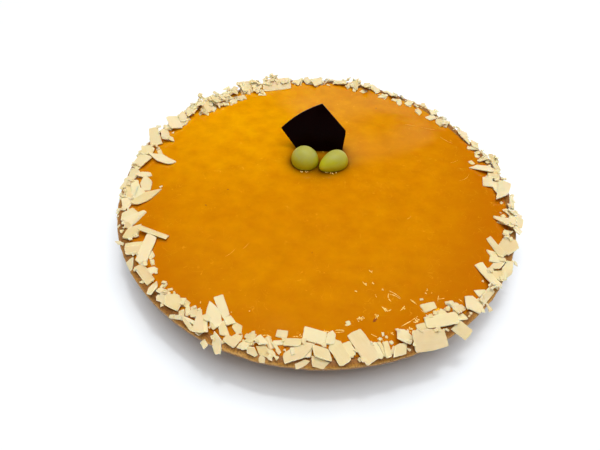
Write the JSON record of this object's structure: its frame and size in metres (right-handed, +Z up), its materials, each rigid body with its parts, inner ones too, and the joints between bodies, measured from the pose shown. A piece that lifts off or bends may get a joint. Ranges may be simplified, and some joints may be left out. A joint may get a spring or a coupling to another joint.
{
  "type": "apricot vlaai",
  "caption": "Whole round flat fruit tart: low flared dough crust, smooth glazed apricot filling, white chocolate shavings along the edge, green grapes and a standing dark chocolate plaque.",
  "frame": {"origin": "middle of the flat underside of the crust", "axes": "+Z up out of the filling; -Y is the front, the side that the picture shows nearest"},
  "size_m": [0.2849, 0.2812, 0.0635],
  "materials": {
    "baked_dough": "matte baked yeast dough, golden brown, with white chocolate shavings fused on",
    "apricot_glaze": "wet glossy apricot jelly, deep yellow orange, with white chocolate shavings fused on",
    "grape_skin": "smooth pale green skin with a satin bloom",
    "dark_chocolate": "near black tempered chocolate, satin"
  },
  "bodies": {
    "root": {"crust": "baked_dough", "apricot_filling": "apricot_glaze", "grape_left": "grape_skin", "grape_right": "grape_skin", "chocolate_plaque": "dark_chocolate"}
  },
  "joints": []
}
